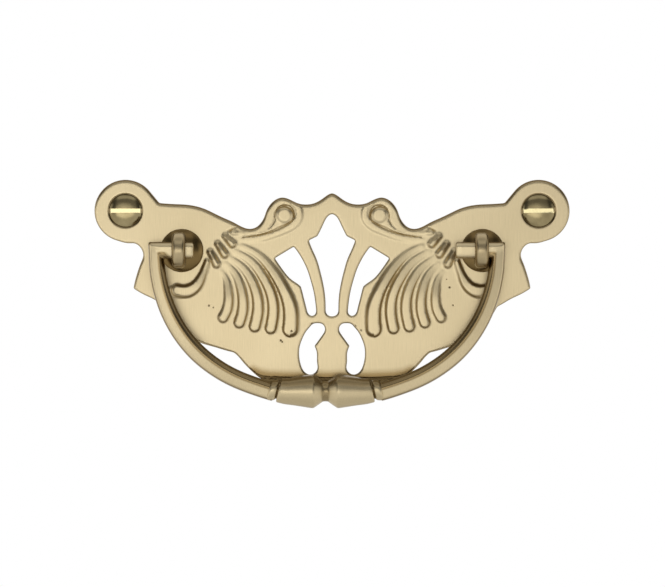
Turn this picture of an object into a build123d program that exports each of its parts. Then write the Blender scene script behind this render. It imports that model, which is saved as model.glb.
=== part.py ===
"""Cabinet drop pull: pierced brass backplate, two riveted eye posts, a swinging bail and two wood screws.

Millimetres. X runs across the pull, Z is up, and the front faces -Y. The origin lies on the back face,
midway between the two fixing screws. Left-hand shapes are drawn once and mirrored.
"""

from build123d import *
import math
import os

# Fixing centres
SCREW_SPACING = 88.0
POST_SPACING = 64.0
POST_DROP = 8.5

# Backplate
PLATE_THICKNESS = 2.0
PLATE_RISE = 3.75
PLATE_DROP = 35.5
LOBE_RADIUS = 6.6
LOBE_END = 252.0
LOBE_WEB = 0.6
NOTCH_RISE = 1.65
CORNER_ROUND = 0.5
EDGE_BEVEL = 0.3
SCROLL_X = 10.4
SCROLL_DROP = 1.0
SCROLL_EDGE = 3.8
CROWN_START = 50.0
CROWN_SWEEP = 122.0
HEEL = (-20.9, 5.5)

# Relief on the front face, with flat tops that are a share of the width
FLAT_SHARE = 0.6
RELIEF_SINK = 0.4
STATIONS_PER_SPAN = 3
FLUTE_HEIGHT = 0.95
TALL_FLUTE_HEIGHT = 1.25
VOLUTE_HEIGHT = 1.0
BOSS_RADIUS = 1.6
BOSS_HEIGHT = 1.2
BEAD_WIDTH = 1.9
BEAD_HEIGHT = 0.9
BUD_WIDTH = 1.2
LEAF_HEIGHT = 0.9

# Eye posts
FLANGE_RADIUS = 4.6
FLANGE_RIM = 0.6
FLANGE_CROWN = 1.9
EYE_RADIUS = 3.75
EYE_WIDTH = 2.6
EYE_BEVEL = 0.6
TAIL_RADIUS = 1.75
TAIL_FLARE = 0.5
STANDOFF = 4.5

# Bail handle
ROD_RADIUS = 1.75
PIN_PROUD_LEFT = 1.4
PIN_PROUD_RIGHT = 4.5
END_PLAY = 1.25
ARM_STRAIGHT = 3.5
SHOULDER_TURN = 45.0
BOW_TURN = 30.0
HANDLE_DROP = 29.8
MOULDING_LENGTH = 24.8
COLLAR_LENGTH = 1.6
COLLAR_RADIUS = 2.35
COLLAR_BEVEL = 0.3
GROOVE_WIDTH = 0.3
GROOVE_RADIUS = 1.95
BARREL_END_RADIUS = 2.4
BARREL_RADIUS = 3.6
BARREL_PEAK = 2.7
NECK_WIDTH = 1.5
NECK_RADIUS = 2.2

# Screws
SHANK_RADIUS = 1.75
SHANK_LENGTH = 4.0
SCREW_LENGTH = 14.0
THREAD_CORE_RADIUS = 1.2
POINT_LENGTH = 2.5
POINT_RADIUS = 0.1
HEAD_RADIUS = 3.45
HEAD_DOME = 0.75
SLOT_WIDTH = 0.85
SLOT_DEPTH = 1.0
SLOT_TURN_LEFT = 0.0
SLOT_TURN_RIGHT = 4.0
SINK_RADIUS = 3.75
SINK_ANGLE = 90.0
SCREW_HOLE_RADIUS = 2.0

# Clearances
PIN_CLEARANCE = 0.08
ARM_CLEARANCE = 0.15
TAIL_CLEARANCE = 0.03
SEAT_CLEARANCE = 0.04
FLANGE_CLEARANCE = 0.25

DEPTH = Vector(0, 1, 0)
FRONT_Y = -PLATE_THICKNESS
PIN_Y = FRONT_Y - STANDOFF
FRONT = Plane.XZ.offset(PLATE_THICKNESS)
SCROLL_CENTRE = (-SCROLL_X, -SCROLL_DROP)
SIDES = {"left": -1, "right": 1}
SEATED = (Align.CENTER, Align.CENTER, Align.MIN)

# Splines keep the same pace at both ends, so that they don't swing wide of their points
EVEN = (1, 1)


def by_screw(across, up):
    """Point on the face, measured from the left screw."""
    return (-SCREW_SPACING / 2 + across, up)


def by_post(across, up):
    """Point on the face, measured from the left eye post."""
    return (-POST_SPACING / 2 + across, -POST_DROP + up)


def by_foot(across, up):
    """Point on the face, measured from the middle of the lower edge."""
    return (across, -PLATE_DROP + up)


def by_scroll(across, up):
    """Point on the face, measured from the left scroll's boss."""
    return (-SCROLL_X + across, -SCROLL_DROP + up)


def across_middle(points):
    """Carry left-hand points on over the middle line to their mirror images."""
    return points + [(-x, z) for x, z in reversed(points) if x != 0]


def half_outline():
    """Draw the backplate's left edge from the scroll round to the heel, and return its sharp corners."""
    crown = CenterArc(SCROLL_CENTRE, SCROLL_EDGE, CROWN_START, CROWN_SWEEP)
    brim = by_post(1.0, 9.8)
    notch = by_screw(LOBE_RADIUS + LOBE_WEB, NOTCH_RISE)
    Spline(
        crown @ 1,
        by_scroll(-4.7, -1.5),
        by_scroll(-7.0, -2.85),
        by_scroll(-10.6, -1.45),
        by_post(5.0, 8.9),
        brim,
        tangents=[crown % 1, Vector(*notch) - Vector(*brim)],
        tangent_scalars=EVEN,
    )
    Line(brim, notch)
    reach = Vector(*notch) - Vector(*by_screw(0, 0))
    lobe_start = math.degrees(math.atan2(reach.Y, reach.X) + math.acos(LOBE_RADIUS / reach.length))
    lobe = CenterArc(by_screw(0, 0), LOBE_RADIUS, lobe_start, LOBE_END - lobe_start)
    Line(notch, lobe @ 0)
    hip = by_post(-10.3, -8.2)
    Spline(
        lobe @ 1,
        by_screw(1.9, -LOBE_RADIUS - 0.3),
        by_post(-8.2, -0.9),
        by_post(-8.8, -2.8),
        hip,
        tangents=[lobe % 1, (-0.2, -1)],
        tangent_scalars=EVEN,
    )
    haunch = by_post(-3.2, -11.95)
    Line(hip, haunch)
    hem = by_foot(-28.4, 7.5)
    heel = by_foot(*HEEL)
    skirt = Line(hem, heel)
    Spline(haunch, by_post(-0.5, -16.4), hem, tangents=[(0.6, -1), skirt % 0], tangent_scalars=EVEN)
    return [notch, hip, haunch, heel]


def crest():
    """Draw the upper edge between the two scrolls."""
    start = math.radians(CROWN_START)
    crown = by_scroll(SCROLL_EDGE * math.cos(start), SCROLL_EDGE * math.sin(start))
    slope = Vector(math.sin(start), -math.cos(start))
    points = across_middle([crown, (-5.5, 1.35), (-3.0, 2.0), (-1.1, 3.25), (0, PLATE_RISE)])
    Spline(points, tangents=[slope, (slope.X, -slope.Y)], tangent_scalars=EVEN)


def lower_edge():
    """Draw the lower edge from heel to heel."""
    toes = [HEEL, (-18.3, 2.8), (-15.5, 0.75), (-12.0, 0.15), (0, 0)]
    points = across_middle([by_foot(*toe) for toe in toes])
    Spline(points, tangents=[(1, -1), (1, 1)], tangent_scalars=EVEN)


def half_tulip():
    """Draw the left edge of the tall middle piercing, and return its sharp corners."""
    shoulder = (-3.1, -5.4)
    point = (0, -0.7)
    Spline(point, (-1.1, -1.4), (-2.2, -3.6), shoulder, tangents=[(-1, 0), (-0.4, -1)], tangent_scalars=EVEN)
    tip = (-5.0, -6.2)
    Line(shoulder, tip)
    foot = by_foot(-1.35, 14.3)
    Spline(tip, (-3.35, -10.2), (-2.1, -14.5), foot, tangents=[(-0.1, -1), (0, -1)], tangent_scalars=EVEN)
    Spline(foot, by_foot(0, 13.0), tangents=[(0, -1), (1, 0)], tangent_scalars=EVEN)
    return [shoulder, tip]


def side_light():
    """Draw the left-hand piercing beside the tulip, and return its sharp corners."""
    peak = (-8.15, -7.65)
    corner = (-12.2, -10.1)
    step = (-6.65, -16.1)
    sill = by_foot(-5.2, 14.0)
    sill_end = by_foot(-3.4, 14.0)
    Line(peak, corner)
    Spline(corner, (-9.7, -13.6), step)
    Line(step, sill)
    RadiusArc(sill, sill_end, -1.0)
    Spline(sill_end, (-4.05, -16.7), (-5.2, -12.8), peak)
    return [peak, corner, step, sill, sill_end]


def crescent():
    """Draw the left-hand piercing near the lower edge, and return its sharp corners."""
    horn = by_foot(-1.5, 10.4)
    brow = by_foot(-4.7, 10.8)
    cusp = by_foot(-3.75, 6.7)
    toe = by_foot(-3.15, 1.6)
    toe_end = by_foot(-5.9, 1.3)
    ThreePointArc(brow, by_foot(-3.0, 11.55), horn)
    Spline(horn, by_foot(-2.15, 8.9), cusp)
    Spline(cusp, by_foot(-3.2, 4.2), toe)
    ThreePointArc(toe, by_foot(-4.5, 0.6), toe_end)
    Spline(toe_end, by_foot(-7.0, 4.5), by_foot(-6.3, 8.3), brow)
    return [horn, brow, cusp, toe, toe_end]


def ridge_section(width, height):
    """Draw the flat-topped section of a ridge, whose sloping sides run on down into the plate."""
    crown = width / 2 * FLAT_SHARE
    slope = (width / 2 - crown) / height
    foot = width / 2 + slope * RELIEF_SINK
    Polygon((-foot, RELIEF_SINK), (foot, RELIEF_SINK), (crown, -height), (-crown, -height), align=None)


def width_at(widths, share):
    """Width at a share of the way along a ridge, between the two listed widths on either side of it."""
    place = share * (len(widths) - 1)
    step = min(int(place), len(widths) - 2)
    return widths[step] + (widths[step + 1] - widths[step]) * (place - step)


def ridge(points, widths, height, blunt_ends):
    """Raise a flat-topped ridge along a line on the face, with round ends where they are asked for."""
    with BuildLine(FRONT, mode=Mode.PRIVATE) as spine:
        Spline(*points)
    steps = STATIONS_PER_SPAN * (len(widths) - 1)
    stations = []
    sections = []
    for i in range(steps + 1):
        along = spine.line % (i / steps)
        stations.append(Plane(spine.line @ (i / steps), x_dir=DEPTH.cross(along), z_dir=along))
        with BuildSketch(stations[-1]) as section:
            ridge_section(width_at(widths, i / steps), height)
        sections.append(section.sketch)
    loft(sections)
    for end in blunt_ends:
        with BuildSketch(stations[end]) as half:
            ridge_section(widths[end], height)
            Rectangle(2 * widths[end], 4 * height, align=(Align.MAX, Align.CENTER), mode=Mode.SUBTRACT)
        outward = DEPTH if end == 0 else -DEPTH
        revolve(half.sketch, axis=Axis(stations[end].origin, outward), revolution_arc=180)


# Spine of each flute from root to foot, and its width along the way
FLUTES = [
    [(-23.6, -13.0), (-22.4, -15.2), (-22.05, -18.5), (-23.15, -22.75)],
    [(-22.6, -11.3), (-20.6, -13.5), (-19.0, -18.5), (-19.8, -23.8)],
    [(-21.7, -10.2), (-18.7, -12.5), (-15.9, -18.5), (-16.4, -24.6)],
    [(-20.65, -8.75), (-17.0, -11.1), (-12.9, -18.0), (-13.05, -25.0)],
]
FLUTE_WIDTHS = [(0.7, 1.6, 2.05, 2.3), (0.8, 1.35, 1.9, 2.4), (0.9, 1.45, 2.1, 2.5), (1.1, 1.55, 2.1, 2.5)]
TALL_FLUTE = [(-19.1, -7.7), (-15.3, -9.8), (-9.5, -18.0), (-8.8, -25.2)]
TALL_FLUTE_WIDTHS = (1.2, 1.6, 2.3, 3.5)
VOLUTE = [
    by_scroll(-8.9, -5.25),
    by_scroll(-4.8, -4.8),
    by_scroll(-1.6, -3.9),
    by_scroll(1.7, -2.4),
    by_scroll(3.05, -0.2),
    by_scroll(2.5, 1.75),
    by_scroll(0, 2.6),
    by_scroll(-2.2, 1.4),
    by_scroll(-2.7, -0.8),
    by_scroll(-4.4, -2.9),
    by_scroll(-8.0, -3.75),
]
VOLUTE_WIDTHS = (1.1, 1.5, 1.9, 1.8, 1.9, 1.8, 1.3, 1.1, 1.0, 1.0, 0.8)
BEADS = [[(-22.7, -5.6), (-21.2, -7.1)], [(-24.3, -7.2), (-22.9, -9.3)], [(-25.9, -8.9), (-24.7, -11.4)]]
BUD = [(-21.9, -4.4), (-20.3, -4.9)]
LEAF = [by_post(5.4, -3.0), by_post(4.2, -5.5), by_post(2.7, -7.9), by_post(0.8, -8.7), by_post(-1.0, -8.5)]
LEAF_WIDTHS = (0.9, 1.4, 2.3, 2.9, 2.8)

with BuildPart() as relief:
    for points, widths in zip(FLUTES, FLUTE_WIDTHS):
        ridge(points, widths, FLUTE_HEIGHT, [-1])
    ridge(TALL_FLUTE, TALL_FLUTE_WIDTHS, TALL_FLUTE_HEIGHT, [-1])
    for ends in BEADS:
        ridge(ends, (BEAD_WIDTH, BEAD_WIDTH), BEAD_HEIGHT, [0, -1])
    ridge(BUD, (BUD_WIDTH, BUD_WIDTH), BEAD_HEIGHT, [0, -1])
    ridge(LEAF, LEAF_WIDTHS, LEAF_HEIGHT, [-1])
    ridge(VOLUTE, VOLUTE_WIDTHS, VOLUTE_HEIGHT, [])
    with BuildSketch(Plane(FRONT.from_local_coords(SCROLL_CENTRE), x_dir=(1, 0, 0), z_dir=(0, 0, 1))):
        Ellipse(BOSS_RADIUS, BOSS_HEIGHT)
        Rectangle(BOSS_RADIUS, 2 * BOSS_HEIGHT, align=(Align.MAX, Align.CENTER), mode=Mode.SUBTRACT)
    revolve(axis=Axis(FRONT.from_local_coords(SCROLL_CENTRE), DEPTH))

# The relief stops short of the posts' flanges
tail_hole = TAIL_RADIUS + TAIL_CLEARANCE
flange_seat = FLANGE_RADIUS + FLANGE_CLEARANCE
with BuildPart() as backplate:
    with BuildSketch(Plane.XZ) as face:
        with BuildLine():
            corners = half_outline()
            mirror(about=Plane.YZ)
            crest()
            lower_edge()
        make_face()
        with BuildLine():
            corners += half_tulip()
            mirror(about=Plane.YZ)
        make_face(mode=Mode.SUBTRACT)
        for piercing in (side_light, crescent):
            with BuildLine() as loop:
                corners += piercing()
            make_face(mode=Mode.SUBTRACT)
            make_face(mirror(loop.line, about=Plane.YZ, mode=Mode.PRIVATE).edges(), mode=Mode.SUBTRACT)
        corners += [(-x, z) for x, z in corners]
        fillet([vertices().sort_by_distance(corner)[0] for corner in corners], CORNER_ROUND)
    extrude(amount=PLATE_THICKNESS)
    chamfer(faces().sort_by(Axis.Y)[0].edges(), EDGE_BEVEL)
    add(relief.part)
    add(mirror(relief.part, about=Plane.YZ, mode=Mode.PRIVATE))
    for side in SIDES.values():
        with Locations(Plane((side * SCREW_SPACING / 2, FRONT_Y, 0), z_dir=-DEPTH)):
            CounterSinkHole(SCREW_HOLE_RADIUS, SINK_RADIUS, counter_sink_angle=SINK_ANGLE)
        with Locations(Plane((side * POST_SPACING / 2, FRONT_Y, -POST_DROP), z_dir=-DEPTH)):
            Cylinder(flange_seat, STANDOFF, align=SEATED, mode=Mode.SUBTRACT)
        with Locations(Plane((side * POST_SPACING / 2, 0, -POST_DROP), z_dir=DEPTH)):
            CounterSinkHole(tail_hole, tail_hole + TAIL_FLARE, counter_sink_angle=SINK_ANGLE)

os.makedirs("parts", exist_ok=True)
backplate.part.label = "backplate"
export_step(backplate.part, "parts/backplate.step")

for name, side in SIDES.items():
    post_x = side * POST_SPACING / 2
    with BuildPart() as eye_post:
        with BuildSketch(Plane((post_x, PIN_Y, -POST_DROP), x_dir=(0, 1, 0), z_dir=(1, 0, 0))):
            Circle(EYE_RADIUS)
        extrude(amount=EYE_WIDTH / 2, both=True)
        chamfer(edges().filter_by(GeomType.CIRCLE), EYE_BEVEL)
        with BuildSketch(Plane((post_x, 0, -POST_DROP), x_dir=(1, 0, 0), z_dir=(0, 0, 1))):
            with BuildLine():
                tail = Polyline(
                    (0, FRONT_Y - FLANGE_CROWN),
                    (0, 0),
                    (TAIL_RADIUS + TAIL_FLARE, 0),
                    (TAIL_RADIUS, -TAIL_FLARE),
                    (TAIL_RADIUS, FRONT_Y),
                    (FLANGE_RADIUS, FRONT_Y),
                    (FLANGE_RADIUS, FRONT_Y - FLANGE_RIM),
                )
                Spline(tail @ 1, tail @ 0, tangents=[(-0.5, -1), (-1, 0)], tangent_scalars=EVEN)
            make_face()
        revolve(axis=Axis((post_x, 0, -POST_DROP), DEPTH))
        with BuildSketch(Plane((post_x, PIN_Y, -POST_DROP), x_dir=(0, 1, 0), z_dir=(1, 0, 0))):
            Circle(ROD_RADIUS + PIN_CLEARANCE)
        extrude(amount=EYE_WIDTH, both=True, mode=Mode.SUBTRACT)
    eye_post.part.label = f"eye_post_{name}"
    export_step(eye_post.part, f"parts/eye_post_{name}.step")

# The bail hangs against the right eye, with all of its end play on the left
handle_x = ARM_CLEARANCE - END_PLAY
arm_x = POST_SPACING / 2 + EYE_WIDTH / 2 + END_PLAY + ROD_RADIUS
axle_z = -POST_DROP - HANDLE_DROP
handle_plane = Plane((handle_x, PIN_Y, 0), x_dir=(1, 0, 0), z_dir=-DEPTH)

# Two tangent arcs carry each arm round to the moulding; their radii follow from the run and the fall
turn = math.radians(SHOULDER_TURN)
end_turn = math.radians(SHOULDER_TURN + BOW_TURN)
run = arm_x - MOULDING_LENGTH / 2
fall = HANDLE_DROP - ARM_STRAIGHT
run_shares = (1 - math.cos(turn), math.cos(turn) - math.cos(end_turn))
fall_shares = (math.sin(turn), math.sin(end_turn) - math.sin(turn))
scale = run_shares[0] * fall_shares[1] - run_shares[1] * fall_shares[0]
shoulder_radius = (run * fall_shares[1] - fall * run_shares[1]) / scale
bow_radius = (fall * run_shares[0] - run * fall_shares[0]) / scale

with BuildPart() as drop_handle:
    for side, proud in ((-1, PIN_PROUD_LEFT), (1, PIN_PROUD_RIGHT)):
        tip_x = side * (POST_SPACING / 2 - EYE_WIDTH / 2 - proud) - handle_x
        corner = (side * arm_x, -POST_DROP)
        with BuildLine(handle_plane) as rod:
            pin = Line((tip_x, -POST_DROP), corner)
            arm = Line(corner, (side * arm_x, -POST_DROP - ARM_STRAIGHT))
            shoulder = JernArc(arm @ 1, arm % 1, shoulder_radius, -side * SHOULDER_TURN)
            bow = JernArc(shoulder @ 1, shoulder % 1, bow_radius, -side * BOW_TURN)
            Line(bow @ 1, bow @ 1 + (bow % 1) * COLLAR_LENGTH)
        with BuildSketch(Plane(rod.line @ 0, z_dir=rod.line % 0)):
            Circle(ROD_RADIUS)
        sweep(path=rod.line, transition=Transition.RIGHT)
    with BuildSketch(Plane((handle_x, PIN_Y, axle_z), x_dir=(1, 0, 0), z_dir=-DEPTH)):
        with BuildLine():
            end = -MOULDING_LENGTH / 2
            groove = end + COLLAR_LENGTH
            collar = Polyline(
                (0, 0),
                (end, 0),
                (end, COLLAR_RADIUS - COLLAR_BEVEL),
                (end + COLLAR_BEVEL, COLLAR_RADIUS),
                (groove - COLLAR_BEVEL, COLLAR_RADIUS),
                (groove, COLLAR_RADIUS - COLLAR_BEVEL),
                (groove, GROOVE_RADIUS),
                (groove + GROOVE_WIDTH, GROOVE_RADIUS),
                (groove + GROOVE_WIDTH, BARREL_END_RADIUS),
            )
            peak = (-BARREL_PEAK, BARREL_RADIUS)
            Spline(collar @ 1, peak, tangents=[(1, 0.05), (1, 0)], tangent_scalars=EVEN)
            neck = (-NECK_WIDTH / 2, NECK_RADIUS)
            Spline(peak, neck, tangents=[(1, 0), (0.5, -1)], tangent_scalars=EVEN)
            Line(neck, (0, NECK_RADIUS))
            mirror(about=Plane.YZ)
        make_face()
    revolve(axis=Axis((handle_x, PIN_Y, axle_z), (1, 0, 0)))
drop_handle.part.label = "drop_handle"
export_step(drop_handle.part, "parts/drop_handle.step")

# The countersunk heads seat in the lobes
rim_y = FRONT_Y + SINK_RADIUS - HEAD_RADIUS - SEAT_CLEARANCE * math.sqrt(2)
neck_y = rim_y + HEAD_RADIUS - SHANK_RADIUS
for name, slot_turn in (("left", SLOT_TURN_LEFT), ("right", SLOT_TURN_RIGHT)):
    screw_x = SIDES[name] * SCREW_SPACING / 2
    with BuildPart() as screw:
        with BuildSketch(Plane((screw_x, 0, 0), x_dir=(1, 0, 0), z_dir=(0, 0, 1))):
            with BuildLine():
                shank = Polyline(
                    (HEAD_RADIUS, rim_y),
                    (SHANK_RADIUS, neck_y),
                    (SHANK_RADIUS, neck_y + SHANK_LENGTH),
                    (THREAD_CORE_RADIUS, neck_y + SHANK_LENGTH + SHANK_RADIUS - THREAD_CORE_RADIUS),
                    (THREAD_CORE_RADIUS, neck_y + SCREW_LENGTH - POINT_LENGTH),
                    (POINT_RADIUS, neck_y + SCREW_LENGTH),
                    (0, neck_y + SCREW_LENGTH),
                    (0, rim_y - HEAD_DOME),
                )
                Spline(shank @ 1, shank @ 0, tangents=[(1, 0), (1, 0.8)], tangent_scalars=EVEN)
            make_face()
        revolve(axis=Axis((screw_x, 0, 0), DEPTH))
        with BuildSketch(Plane((screw_x, rim_y - HEAD_DOME, 0), x_dir=(1, 0, 0), z_dir=-DEPTH)):
            Rectangle(2 * HEAD_RADIUS, SLOT_WIDTH, rotation=slot_turn)
        extrude(amount=-SLOT_DEPTH, mode=Mode.SUBTRACT)
    screw.part.label = f"screw_{name}"
    export_step(screw.part, f"parts/screw_{name}.step")
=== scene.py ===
import bpy
import numpy as np
from mathutils.geometry import delaunay_2d_cdt
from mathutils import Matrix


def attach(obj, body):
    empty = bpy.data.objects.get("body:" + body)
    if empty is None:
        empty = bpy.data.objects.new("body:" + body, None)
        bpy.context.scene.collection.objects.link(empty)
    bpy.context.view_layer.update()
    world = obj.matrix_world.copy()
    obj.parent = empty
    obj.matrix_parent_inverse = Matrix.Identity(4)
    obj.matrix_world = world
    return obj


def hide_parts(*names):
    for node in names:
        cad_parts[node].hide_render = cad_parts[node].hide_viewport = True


MM = 0.001

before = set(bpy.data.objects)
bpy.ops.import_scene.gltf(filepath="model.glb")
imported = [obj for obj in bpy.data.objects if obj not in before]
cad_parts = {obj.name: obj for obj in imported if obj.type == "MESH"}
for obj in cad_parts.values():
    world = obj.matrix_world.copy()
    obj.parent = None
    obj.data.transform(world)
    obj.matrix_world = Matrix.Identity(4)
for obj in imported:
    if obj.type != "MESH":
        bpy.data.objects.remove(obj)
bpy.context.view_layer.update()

# Fixing and hanging points of the pull, in millimetres, as the solids have them
SCREW_X = 44.0
POST_X = 32.0
POST_Z = -8.5
PLATE_FRONT = -2.0
PIN_Y = -6.5
ROD_RADIUS = 1.75

# The loose bail hangs a little to the left: its middle, its moulding's middle, and the shift of the eyes' rings
BAIL_X = -1.1
MOULDING_X = -1.4
MOULDING_Z = -38.3
RING_SHIFT = -0.38

# Axis of the bail's arm: angle below the pins, in degrees, and distance from the middle of the pins' line
ARM = [(0, 36.1), (11, 36.02), (21, 35.85), (30, 35.48), (38, 34.95), (46, 34.2), (54, 33.36), (62, 32.52),
       (67.4, 32.13), (69.6, 32.01)]

# The rod's radius down the arm: distance from the pin, and radius
ARM_RADIUS = [(3.8, 1.66), (12, 1.8), (24, 1.93)]


# ---------------------------------------------------------------- lines on the face

# Spacing of points: inside a spline, while a loop is joined, along its chains, and along the finished loop
DENSE = 0.02
FINE = 0.05
SPLINE = 0.1
STEP = 0.2


def smooth_line(points, step, start=None, end=None):
    """Cubic spline through the points, resampled to even steps.

    The knots are the running chord lengths, and the second derivatives solve the usual three-term
    system: natural at an end, or clamped to the unit direction given for it.
    """
    p = np.array(points, float)
    t = np.concatenate([[0.0], np.cumsum(np.linalg.norm(np.diff(p, axis=0), axis=1))])
    h = np.diff(t)
    n = len(p)
    slope = np.diff(p, axis=0) / h[:, None]
    matrix = np.zeros((n, n))
    right = np.zeros((n, 2))
    inner = np.arange(1, n - 1)
    matrix[inner, inner - 1] = h[:-1]
    matrix[inner, inner] = 2 * (h[:-1] + h[1:])
    matrix[inner, inner + 1] = h[1:]
    right[inner] = 6 * np.diff(slope, axis=0)
    matrix[0, 0] = matrix[-1, -1] = 1.0
    if start is not None:
        unit = np.array(start, float) / np.linalg.norm(start)
        matrix[0, :2] = (2 * h[0], h[0])
        right[0] = 6 * (slope[0] - unit)
    if end is not None:
        unit = np.array(end, float) / np.linalg.norm(end)
        matrix[-1, -2:] = (h[-1], 2 * h[-1])
        right[-1] = 6 * (unit - slope[-1])
    bend = np.linalg.solve(matrix, right)
    u = np.linspace(0.0, t[-1], max(40, int(t[-1] / DENSE)))
    i = np.clip(np.searchsorted(t, u, side="right") - 1, 0, n - 2)
    a = ((t[i + 1] - u) / h[i])[:, None]
    b = 1 - a
    cubic = ((a**3 - a) * bend[i] + (b**3 - b) * bend[i + 1]) * (h[i] ** 2)[:, None] / 6
    return even_steps(a * p[i] + b * p[i + 1] + cubic, step)


def even_steps(line, step, closed=False):
    """The same line, resampled at equal distances along it."""
    if closed:
        line = np.vstack([line, line[:1]])
    run = np.concatenate([[0.0], np.cumsum(np.linalg.norm(np.diff(line, axis=0), axis=1))])
    count = max(3, int(round(run[-1] / step)))
    place = np.linspace(0.0, run[-1], count + 1)
    out = np.stack([np.interp(place, run, line[:, k]) for k in range(2)], axis=1)
    return out[:-1] if closed else out


def arc(centre, radius, start, stop):
    """Circle arc from one angle to another, in degrees."""
    count = max(4, int(abs(np.radians(stop - start)) * radius / SPLINE))
    turn = np.radians(np.linspace(start, stop, count + 1))
    return np.array(centre) + radius * np.stack([np.cos(turn), np.sin(turn)], axis=1)


def closed_loop(chains, both_halves, soften, step, clockwise=False):
    """Join chains into one closed loop: mirrored over the middle if asked, its corners eased by a
    Gaussian along the line, and its points set at even steps in the wanted direction."""
    half = np.vstack(chains)
    loop = np.vstack([half, half[::-1] * (-1, 1)]) if both_halves else half
    loop = even_steps(loop, FINE, closed=True)
    if soften:
        reach = np.arange(-int(3 * soften / FINE), int(3 * soften / FINE) + 1)
        weight = np.exp(-0.5 * (reach * FINE / soften) ** 2)
        weight /= weight.sum()
        place = (np.arange(len(loop))[:, None] + reach[None, :]) % len(loop)
        loop = np.einsum("ijk,j->ik", loop[place], weight)
    loop = even_steps(loop, step, closed=True)
    ahead = np.roll(loop, -1, axis=0)
    area = np.sum(loop[:, 0] * ahead[:, 1] - ahead[:, 0] * loop[:, 1])
    return loop[::-1] if (area > 0) == clockwise else loop


def mirrored(loop):
    """The loop's mirror image over the middle line, running the same way round."""
    return (loop * (-1, 1))[::-1]


def into_metal(loop):
    """Unit normals of a loop, to the left of its direction: into the metal for every loop here."""
    along = np.roll(loop, -1, axis=0) - np.roll(loop, 1, axis=0)
    along /= np.linalg.norm(along, axis=1)[:, None]
    return np.stack([-along[:, 1], along[:, 0]], axis=1)


# ---------------------------------------------------------------- backplate outline and piercings

LOBE_RADIUS = 6.6
SCREW_HOLE = 3.7
TAIL_HOLE = 1.78


def plate_outline():
    """Left edge from the crest's point round the scroll, wing, lobe, flank and skirt to the foot."""
    crest = [(0, 3.75), (-1, 3.33), (-2, 2.6), (-3, 1.97), (-4, 1.55), (-5.5, 1.35), (-7, 1.52), (-8, 1.92),
             (-9.2, 2.5), (-10.6, 2.83), (-12.2, 2.25), (-13.35, 1.1), (-14, -0.1), (-14.5, -1.5),
             (-15.1, -2.5), (-16, -3.4), (-17.4, -3.85), (-19, -3.5), (-21, -2.45), (-23, -1.55), (-25, -0.6),
             (-27, 0.35), (-29, 0.98), (-31, 1.3), (-34, 1.45), (-36.8, 1.65)]
    flank = [(-44.5, -6.75), (-43.3, -6.93), (-42.1, -6.95), (-41.1, -7.5), (-40.45, -8.4), (-40.2, -9.5),
             (-40.65, -10.9), (-41.4, -13.0), (-42.0, -15.1), (-42.3, -16.55)]
    hip = [(-42.3, -16.55), (-40.2, -17.8), (-38, -18.85), (-36.3, -19.85), (-35.2, -20.45)]
    skirt = [(-35.2, -20.45), (-33.9, -22.7), (-32.0, -25.4), (-28.4, -28.0), (-25, -29.05), (-22.5, -29.8),
             (-20.9, -30.2)]
    foot = [(-20.9, -30.2), (-20.2, -30.8), (-19.2, -31.95), (-17.9, -33.4), (-16.9, -34.35), (-15.6, -35.45),
            (-14.4, -36.15), (-12, -36.6), (-8, -36.75), (-4, -36.8), (0, -36.8)]
    lobe = arc((-SCREW_X, 0), LOBE_RADIUS, 39.5, 252.0)
    return closed_loop(
        [smooth_line(crest, SPLINE, start=(-1, -0.15)), lobe, smooth_line(flank, SPLINE), smooth_line(hip, SPLINE),
         smooth_line(skirt, SPLINE), smooth_line(foot, SPLINE, end=(1, 0))],
        both_halves=True, soften=0.22, step=STEP)


def tulip():
    """Tall piercing in the middle: pointed head, two ears and a long round-ended stem."""
    head = [(0, -0.7), (-1.0, -1.3), (-1.6, -2.3), (-2.2, -3.6), (-3.1, -5.4)]
    stem = [(-4.95, -6.3), (-4.2, -8.2), (-3.3, -10.2), (-2.6, -12.5), (-2.1, -14.5), (-1.75, -16.2),
            (-1.4, -19), (-1.35, -21.2)]
    end = [(-1.35, -21.2), (-1.0, -22.15), (0, -22.5)]
    return closed_loop(
        [smooth_line(head, SPLINE, start=(-1, -0.1)), smooth_line(stem, SPLINE),
         smooth_line(end, SPLINE, start=(0, -1), end=(1, 0))],
        both_halves=True, soften=0.2, step=STEP, clockwise=True)


def side_light():
    """Left-hand piercing beside the tulip: a sloping head that narrows to a slot."""
    outer = [(-12.2, -10.1), (-10.9, -12.0), (-9.7, -13.6), (-8.9, -14.45), (-7.5, -15.45), (-6.65, -16.1)]
    slot = [(-6.65, -16.1), (-6.35, -17.2), (-5.9, -19), (-5.4, -21), (-5.15, -21.8), (-4.3, -22.4),
            (-3.55, -22.0), (-3.4, -21)]
    inner = [(-3.4, -21), (-3.6, -19.2), (-4.05, -16.7), (-4.6, -14.7), (-5.2, -12.8), (-6, -11), (-6.9, -9.4),
             (-8.15, -7.65)]
    return closed_loop(
        [smooth_line(outer, SPLINE), smooth_line(slot, SPLINE), smooth_line(inner, SPLINE)],
        both_halves=False, soften=0.2, step=STEP, clockwise=True)


def crescent():
    """Left-hand piercing near the foot: a horned head over a bean-shaped body."""
    horn = [(-4.7, -24.75), (-4.2, -24.2), (-3.0, -23.95), (-2.0, -24.2), (-1.5, -25.1), (-2.15, -26.6),
            (-3.3, -28.2), (-3.75, -28.8)]
    body = [(-3.75, -28.8), (-3.4, -29.6), (-3.2, -30.7), (-3.2, -32.2), (-3.15, -33.8), (-4.5, -34.9),
            (-5.9, -34.3), (-6.6, -33), (-7, -31), (-6.9, -29), (-6.3, -27.2), (-5.5, -25.7), (-4.7, -24.75)]
    return closed_loop(
        [smooth_line(horn, SPLINE), smooth_line(body, SPLINE)],
        both_halves=False, soften=0.15, step=STEP, clockwise=True)


# ---------------------------------------------------------------- carving on the face

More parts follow.
